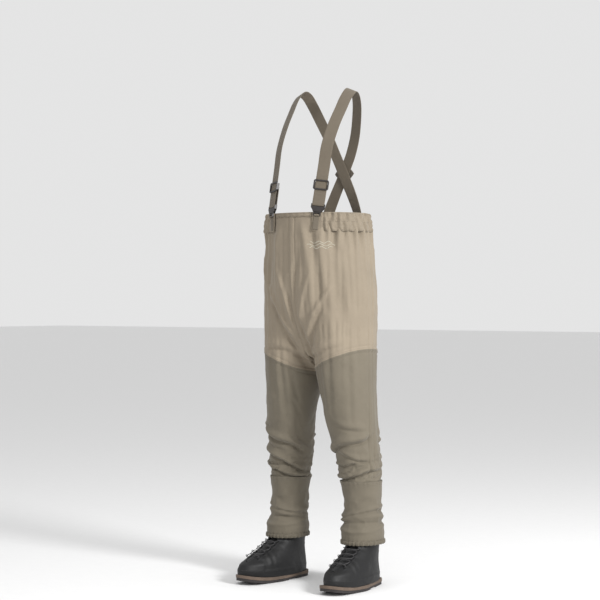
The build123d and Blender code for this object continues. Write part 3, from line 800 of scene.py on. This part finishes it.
for name, k in SIDES:
    rows, cols = 96, 240
    verts, places = [], []
    for z in np.linspace(GUARD_EDGE, GUARD_TOP, rows):
        ellipse = section(GUARD, z, smooth=0.012)[:, 0]
        for t in np.linspace(0, 2 * math.pi, cols, endpoint=False):
            verts.append(guard_point(k, ellipse, guard_radius(k, t, z), t, z))
            places.append((t * 0.07, 0, z))
    guard = add_object(f"gravel_guard_{name}", verts, grid_faces(rows, cols, closed=True))
    put_attribute(guard, "rest", places)
    thicken(guard, 0.0018)
    dress(guard, GUARD_CLOTH)
    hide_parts(f"gravel_guard_{name}")
    # the gathered hem over its elastic
    ring, turns = 14, 240
    ellipse = section(GUARD, 0.146, smooth=0.012)[:, 0]
    verts, places = [], []
    for i in range(turns):
        t = 2 * math.pi * i / turns
        ruffle = 0.0011 * math.sin(t * 31 + 1.2 * math.sin(t * 5)) + 0.0007 * math.sin(t * 57)
        for j in range(ring):
            p = 2 * math.pi * j / ring
            r = 0.0008 + 0.0024 * math.cos(p) + ruffle
            zz = 0.1465 + 0.0066 * math.sin(p) * (1 + 0.08 * math.sin(t * 31))
            verts.append(guard_point(k, ellipse, r, t, zz))
            places.append((t * 0.07, p * 0.004, zz))
    faces = [(i * ring + j, i * ring + (j + 1) % ring, ((i + 1) % turns) * ring + (j + 1) % ring,
              ((i + 1) % turns) * ring + j) for i in range(turns) for j in range(ring)]
    hem = add_object(f"guard_hem_{name}", verts, faces)
    put_attribute(hem, "rest", places)
    dress(hem, HEM)
    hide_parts(f"guard_hem_{name}")
    routes = []
    for z in (GUARD_TOP - 0.005, GUARD_TOP - 0.011, 0.157):
        ellipse = section(GUARD, z, smooth=0.012)[:, 0]
        route = []
        for t in np.linspace(0, 2 * math.pi, 260):
            r = guard_radius(k, t, z)
            route.append((np.array(guard_point(k, ellipse, r, t, z)), way_out(t)))
        routes.append(route)
    stitches(f"guard_stitches_{name}", routes)

# ---- shoulder straps
FOOT = np.array([0.093, -0.137 + AXIS_Y, TOP_Z])
UP = np.array([0.097, -0.082 + AXIS_Y, 1.455]) - FOOT
UP /= np.linalg.norm(UP)
YAW = math.radians(26)
FACE = np.array([math.sin(YAW), -math.cos(YAW), 0])
FACE = FACE - UP * (FACE @ UP)
FACE /= np.linalg.norm(FACE)
ACROSS = np.cross(UP, FACE)
LAYER_GAP = 0.0081
SOCKET_BAR, SLIDER_BAR, INSERT_BAR = 0.0244, 0.090, -0.0103
STRAP_WIDTH, STRAP_THICK = 0.0395, 0.0018
BOX_HALF = 0.0165
# over the shoulder and down the back: (place in millimetres, facing, share of the stand-off where
# the straps cross)
SHOULDER = [
    ((99, -50, 1514), (0.42, -0.80, 0.45), 0), ((101, -14, 1568), (0.40, -0.64, 0.66), 0),
    ((102, 15, 1609), (0.38, -0.38, 0.84), 0), ((102, 46, 1636), (0.36, 0.05, 0.93), 0),
    ((98, 74, 1630), (0.32, 0.55, 0.77), 0), ((90, 98, 1598), (0.26, 0.80, 0.54), 0),
    ((75, 119, 1550), (0.18, 0.92, 0.35), 0), ((54, 139, 1492), (0.10, 0.97, 0.20), 0.2),
    ((31, 148, 1436), (0.03, 0.99, 0.08), 0.9), ((10, 150, 1391), (0, 1, 0), 1.0),
    ((-10, 150, 1348), (0, 1, 0), 1.0), ((-36, 149, 1292), (-0.12, 0.98, 0), 0.3),
    ((-57, 146.5, 1240), (-0.26, 0.96, 0), 0), ((-66, 145, 1205), (-0.30, 0.95, 0.02), 0),
    ((-72, 145.6, 1168), (-0.30, 0.95, 0.03), 0),
]


def at(a, s, h):
    """A point of the front run's frame: across, up along the strap, and out from the chest."""
    return FOOT + ACROSS * a + UP * s + FACE * h


def curve_through(points, per=10):
    """A Catmull-Rom line through rows of numbers."""
    p = np.array([2 * points[0] - points[1], *points, 2 * points[-1] - points[-2]])
    out = []
    for i in range(1, len(p) - 2):
        for t in np.linspace(0, 1, per, endpoint=False):
            out.append(0.5 * (2 * p[i] + (p[i + 1] - p[i - 1]) * t
                              + (2 * p[i - 1] - 5 * p[i] + 4 * p[i + 1] - p[i + 2]) * t * t
                              + (3 * p[i] - p[i - 1] - 3 * p[i + 1] + p[i + 2]) * t ** 3))
    out.append(p[-2])
    return np.array(out)


# webbing cut across, in shares of half its width and of its thickness
PROFILE = [(-1, 0.0), (-0.985, 0.42), (-0.95, 0.5), (-0.6, 0.46), (-0.2, 0.5), (0.2, 0.5), (0.6, 0.46),
           (0.95, 0.5), (0.985, 0.42), (1, 0.0), (0.985, -0.42), (0.95, -0.5), (0.6, -0.46), (0.2, -0.5),
           (-0.2, -0.5), (-0.6, -0.46), (-0.95, -0.5), (-0.985, -0.42)]


def ribbon(name, middles, facings, width, thick, mirror=1.0):
    """Flat webbing along middles, its face looking along facings. Keeps its own pattern place."""
    middles, facings = np.array(middles), np.array(facings)
    along = np.gradient(middles, axis=0)
    along /= np.linalg.norm(along, axis=1, keepdims=True)
    facings = facings - along * np.sum(facings * along, axis=1, keepdims=True)
    facings /= np.linalg.norm(facings, axis=1, keepdims=True)
    sideways = np.cross(along, facings)
    run = np.r_[0, np.cumsum(np.linalg.norm(np.diff(middles, axis=0), axis=1))]
    count = len(PROFILE)
    verts, places = [], []
    for m, f, s, d in zip(middles, facings, sideways, run):
        for a, h in PROFILE:
            p = m + s * a * width / 2 + f * h * thick
            verts.append((p[0] * mirror, p[1], p[2]))
            places.append((a * width / 2, h * thick, d))
    faces = []
    for i in range(len(middles) - 1):
        low, high = i * count, (i + 1) * count
        faces += [(low + j, high + j, high + (j + 1) % count, low + (j + 1) % count) for j in range(count)]
    faces += [tuple(range(count)), tuple(reversed(range((len(middles) - 1) * count, len(middles) * count)))]
    if mirror < 0:
        faces = [tuple(reversed(f)) for f in faces]
    obj = add_object(name, verts, faces)
    put_attribute(obj, "weave", places)
    return obj


def bend_round(s, h, radius, start, end, count):
    """Points and facings round a bar that lies across the strap, at angles from out towards up."""
    points, ways = [], []
    for t in np.linspace(start, end, count):
        way = FACE * math.cos(t) + UP * math.sin(t)
        points.append(at(0, s, h) + way * radius)
        ways.append(way)
    return points, ways


def strap_line(stand_off):
    """The strap's middle line and facings, from the socket's bar to its end on the back."""
    bar, bar_ways = bend_round(SOCKET_BAR, -LAYER_GAP / 2, LAYER_GAP / 2, -math.pi, 0, 22)
    stations = [np.r_[at(0, s, 0), FACE] for s in (0.155, 0.225)]
    for (x, y, zz), facing, share in SHOULDER:
        lift_off = stand_off * share * 0.0022
        facing = np.array(facing) / np.linalg.norm(facing)
        stations.append(np.r_[x / 1000, y / 1000 + AXIS_Y + lift_off, zz / 1000, facing])
    curved = curve_through(stations, 12)
    straight = [at(0, s, 0) for s in np.linspace(SOCKET_BAR + 0.002, 0.150, 32)]
    middles = bar + straight + [c[:3] for c in curved]
    ways = bar_ways + [FACE] * len(straight) + [c[3:] for c in curved]
    return middles, ways


def flip(route):
    """The same row on the other side."""
    return [(p * np.array([-1, 1, 1]), w * np.array([-1, 1, 1])) for p, w in route]


for name, k in SIDES:
    middles, ways = strap_line(1 if k > 0 else -1)
    strap = ribbon(f"shoulder_strap_{name}", middles, ways, STRAP_WIDTH, STRAP_THICK, k)
    dress(strap, WEBBING)
    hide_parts(f"shoulder_strap_{name}")
    # the box and cross that sew the strap's lower end to the back
    end, w = np.array(middles[-30:]), np.array(ways[-30:])
    along = np.gradient(end, axis=0)
    side = np.cross(along, w)
    side /= np.linalg.norm(side, axis=1, keepdims=True)
    w = w / np.linalg.norm(w, axis=1, keepdims=True)
    low, high = 14, 28

    def on_strap(i, a):
        return (end[i] + side[i] * a + w[i] * 0.0010, w[i])

    box_rows = [[on_strap(i, a) for i in range(low, high)] for a in (-BOX_HALF, BOX_HALF)]
    box_rows += [[on_strap(i, a) for a in np.linspace(-BOX_HALF, BOX_HALF, 8)] for i in (low, high - 1)]
    for sign in (1, -1):
        box_rows.append([on_strap(i, sign * BOX_HALF * (2 * (i - low) / (high - 1 - low) - 1))
                         for i in range(low, high)])
    if k < 0:
        box_rows = [flip(r) for r in box_rows]
    stitches(f"strap_stitches_{name}", box_rows, sink=0.0)
    # the layer that is doubled back up to the slider and sewn round its middle bar
    bar, bar_ways = bend_round(SLIDER_BAR, -0.0052, 0.0028, math.pi, -0.6 * math.pi, 22)
    rise = np.linspace(SOCKET_BAR + 0.0004, SLIDER_BAR - 0.001, 30)
    tail_mid = [at(0, s, -LAYER_GAP) for s in rise] + bar
    tail_ways = [-FACE] * len(rise) + bar_ways
    tail = ribbon(f"strap_tail_{name}", tail_mid, tail_ways, 0.0392, 0.0017, k)
    tail.data.materials.append(WEBBING)
    start, stop = at(0, SOCKET_BAR + 0.003, -LAYER_GAP), at(0, SLIDER_BAR - 0.018, -LAYER_GAP)
    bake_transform(tail)
    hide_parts(f"strap_tail_{name}", f"strap_end_loop_{name}")
    # the short tab between the bib and the buckle's insert
    path = [(-0.056, -0.0138), (-0.045, -0.0118), (-0.032, -0.0093), (-0.022, -0.0078), (-0.0150, -0.0064)]
    tab_mid = list(curve_through([at(0, s, h) for s, h in path], 6))
    loop, loop_ways = bend_round(INSERT_BAR, -LAYER_GAP / 2, 0.0030, 1.25 * math.pi, -0.30 * math.pi, 26)
    tab = ribbon(f"anchor_tab_{name}", tab_mid + loop, [-FACE] * len(tab_mid) + loop_ways, 0.0178, 0.0016, k)
    tab.data.materials.append(TAB)
    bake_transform(tab)
    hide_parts(f"anchor_tab_{name}")
    for node in ("slider", "buckle_socket", "buckle_insert", "buckle_prong_inner", "buckle_prong_outer"):
        part = refinish(f"{node}_{name}", PLASTIC)
        bevel(part, 0.0005, 2)

# the patch over the crossing of the straps
PATCH_HALF, PATCH_Y, PATCH_Z = 0.029, AXIS_Y + 0.1552, 1.369


def on_patch(u, v, out):
    """A place of the patch, which stands on one corner."""
    return (u + v) / math.sqrt(2), PATCH_Y + out, PATCH_Z + (u - v) / math.sqrt(2)


rows = 25
verts, places = [], []
for i in range(rows):
    for j in range(rows):
        a, c = 2 * i / (rows - 1) - 1, 2 * j / (rows - 1) - 1
        swell = 0.0005 * (1 - max(abs(a), abs(c)) ** 6) + 0.0002 * math.sin(a * 9) * math.cos(c * 8)
        round_off = 1 - 0.05 * (abs(a) * abs(c)) ** 4
        u, v = a * PATCH_HALF * round_off, c * PATCH_HALF * round_off
        verts.append(on_patch(u, v, swell + 0.0012))
        places.append((u, 0, v))
patch = add_object("strap_patch", verts, [tuple(reversed(f)) for f in grid_faces(rows, rows)])
put_attribute(patch, "weave", places)
bm = bmesh.new()
bm.from_mesh(patch.data)
bmesh.ops.recalc_face_normals(bm, faces=bm.faces)
bm.to_mesh(patch.data)
bm.free()
if patch.data.polygons[0].normal.y < 0:
    patch.data.flip_normals()
thicken(patch, 0.0016)
dress(patch, PATCH)
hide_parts("strap_patch")
patch_rows = []
corners = [(-1, -1), (1, -1), (1, 1), (-1, 1)]
for (u, v), (nu, nv) in zip(corners, corners[1:] + corners[:1]):
    route = []
    for t in np.linspace(0, 1, 10):
        pu, pv = (u + (nu - u) * t) * PATCH_HALF * 0.86, (v + (nv - v) * t) * PATCH_HALF * 0.86
        route.append((np.array(on_patch(pu, pv, 0.0017)), np.array([0, 1.0, 0])))
    patch_rows.append(route)
stitches("patch_stitches", patch_rows, sink=0.0)

# ---- emblem: three sewn waves
waves = []
for row in range(3):
    route = []
    for t in np.linspace(0, 1, 120):
        angle = math.radians(38) + (t - 0.5) * 0.56 * (1 - 0.18 * abs(row - 1))
        height = 1.118 + (row - 1) * 0.0085 + 0.0032 * math.sin(t * 2 * math.pi * 2.5 + row * 0.7)
        p = torso_point(angle, height, 0.06)
        way = Vector((-math.sin(angle), math.cos(angle), 0))
        hit = tree.ray_cast(Vector(p), way)
        if hit[0]:
            outward = np.array(hit[1]) if hit[1].dot(way) < 0 else -np.array(hit[1])
            route.append((np.array(hit[0]), outward))
    waves.append(route)
stitches("emblem_waves", waves, length=0.0052, gap=-0.0012, width=0.0042, height=0.0009,
         material=PALE_THREAD)

# ---- boots
TOE_OUT = math.radians(6)
ANKLE = (0.154, 0.040 + AXIS_Y)
BOOT_LOW, BOOT_TOP = 0.0185, 0.165
SOLE_CURL, CURL_FROM = 0.585, -0.110


def foot_place(k, p):
    """From a boot's own frame to the row frame."""
    x, y, z = p
    c, s = math.cos(TOE_OUT), math.sin(TOE_OUT)
    return (k * (ANKLE[0] + x * c - y * s), ANKLE[1] + x * s + y * c, z)


def sole_rise(y):
    """How far the sole curls up towards the toe."""
    d = np.maximum(0, CURL_FROM - y)
    return SOLE_CURL - np.sqrt(SOLE_CURL**2 - d * d)


def raised(z, y):
    """A height on the upper, lifted with the sole's curl, which fades out 60 mm further up."""
    return z + sole_rise(y) * max(0, 1 - (z - BOOT_LOW) / 0.06)


for name, k in SIDES:
    rows, cols = 64, 200
    heights = np.linspace(BOOT_LOW, BOOT_TOP, rows)
    verts, keep = [], []
    for z0 in heights:
        x, y, a, b = section(BOOT, z0, smooth=0.004)[:, 0]
        for t in np.linspace(0, 2 * math.pi, cols, endpoint=False):
            sx, sy = math.sin(t), -math.cos(t)
            px, py = x + a * sx, y + b * sy
            z1 = raised(z0, py)
            rand = smoothstep(0.046, 0.043, z0)
            toe = smoothstep(-0.168, -0.172, py + (0.02 - abs(px)) * 0.2) * smoothstep(0.075, 0.070, z0)
            heel = smoothstep(0.030, 0.034, py - (0.115 - z0) * 0.15) * smoothstep(0.115, 0.112, z0)
            flap = smoothstep(0.030, 0.027, abs(px - x)) * (py < 0.0) * smoothstep(0.07, 0.075, z0)
            stand = 0.0012 * max(rand, toe, heel) + 0.0011 * flap
            quarter = math.exp(-(((py + 0.02 + (z0 - 0.05) * 0.9) / 0.0016) ** 2)) * (z0 > 0.046)
            stand -= 0.0009 * quarter
            collar = math.exp(-(((z0 - 0.158) / 0.006) ** 2)) * 0.0016
            crease = 0.0012 * math.sin(py * 260) * math.exp(-(((py + 0.135) / 0.022) ** 2))
            crease *= smoothstep(0.05, 0.07, z0)
            crumple = 0.0006 * noise.fractal(Vector((px, py, z0)) * 38, 0.9, 2.0, 3)
            stand += collar + crease + crumple
            z1 += 0.3 * stand if z0 > 0.05 else 0
            verts.append(foot_place(k, (px + sx * stand, py + sy * stand, z1)))
            half_gap = np.interp(-py, [0.06, 0.19, 0.205], [0.0200, 0.0090, 0.0])
            keep.append(not (z0 > 0.074 and abs(px - x) < half_gap and py < 0))
    faces = [f for f in grid_faces(rows, cols, closed=True) if all(keep[i] for i in f)]
    if k < 0:
        faces = [tuple(reversed(f)) for f in faces]
    boot = add_object(f"boot_upper_{name}", verts, faces)
    bm = bmesh.new()
    bm.from_mesh(boot.data)
    bmesh.ops.delete(bm, geom=[v for v in bm.verts if not v.link_faces], context="VERTS")
    bm.to_mesh(boot.data)
    bm.free()
    thicken(boot, 0.0042)
    dress(boot, LEATHER)
    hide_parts(f"boot_upper_{name}")

    def boot_row(points):
        """A stitch row round the upper, through (height, angle, stand-off)."""
        route = []
        for z0, t, lift_off in points:
            x, y, a, b = section(BOOT, z0, smooth=0.004)[:, 0]
            sx, sy = math.sin(t), -math.cos(t)
            py = y + b * sy
            z1 = raised(z0, py)
            p = np.array(foot_place(k, (x + (a + lift_off) * sx, py + lift_off * sy, z1)))
            further = lift_off + 0.01
            q = np.array(foot_place(k, (x + (a + further) * sx, py + further * sy, z1 + 0.004)))
            route.append((p, (q - p) / np.linalg.norm(q - p)))
        return route

    routes = [boot_row([(0.0405, t, 0.0013) for t in np.linspace(0, 2 * math.pi, 200)]),
              boot_row([(0.150, t, 0.0008) for t in np.linspace(0.5, 2 * math.pi - 0.5, 120)])]
    stitches(f"boot_stitches_{name}", routes, length=0.003, gap=0.0014, width=0.0009, material=LACE)
    for node, material, slot in (
        ("boot_tongue", LINING, "boot_leather"), ("boot_laces", LACE, "lace_cord"),
        ("lace_loops", METAL, "loop_metal"), ("boot_midsole", MIDSOLE, "midsole_foam"),
        ("boot_outsole", RUBBER, "outsole_rubber"), ("boot_insole", INSOLE, "insole_foam"),
        ("stocking_foot", NEOPRENE, "neoprene"),
    ):
        part = refinish(f"{node}_{name}", material)
        if node in ("boot_midsole", "boot_outsole"):
            bevel(part, 0.0015, 3)

# ---- studio
bpy.ops.mesh.primitive_grid_add(size=80, x_subdivisions=12, y_subdivisions=12, location=(0, 0, -0.0005))
floor = bpy.context.object
floor.name = "studio_floor"
floor.data.materials.append(FLOOR)
floor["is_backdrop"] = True

VIEW_TURN = math.radians(36)
DISTANCE, SIDESTEP, EYE = 5.55, 0.060, 0.94
camera_data = bpy.data.cameras.new("camera")
camera_data.lens, camera_data.sensor_width = 100, 36
camera = new_object("camera", camera_data)
camera.location = (
    math.sin(VIEW_TURN) * DISTANCE - math.cos(VIEW_TURN) * SIDESTEP,
    AXIS_Y - math.cos(VIEW_TURN) * DISTANCE - math.sin(VIEW_TURN) * SIDESTEP,
    EYE,
)
camera.rotation_euler = (math.pi / 2, 0, VIEW_TURN)
bpy.context.scene.camera = camera


def area_light(name, power, size, place, target):
    data = bpy.data.lights.new(name, "AREA")
    data.energy, data.size, data.shape = power, size, "DISK"
    lamp = new_object(name, data)
    lamp.location = place
    lamp.rotation_euler = (Vector(target) - Vector(place)).to_track_quat("-Z", "Y").to_euler()


area_light("key", 170, 0.9, (3.7, -0.7, 2.5), (0, 0, 0.9))
area_light("fill", 12, 2.5, (-1.4, -4.2, 1.9), (0, 0, 0.8))
area_light("top", 22, 2.0, (0.2, -0.6, 4.0), (0, 0, 0.9))
world = bpy.data.worlds.new("world")
world.use_nodes = True
background = world.node_tree.nodes["Background"]
background.inputs["Color"].default_value = (1, 1, 1, 1)
background.inputs["Strength"].default_value = 0.78
bpy.context.scene.world = world
bpy.context.scene.view_settings.view_transform = "Standard"

low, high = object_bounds()
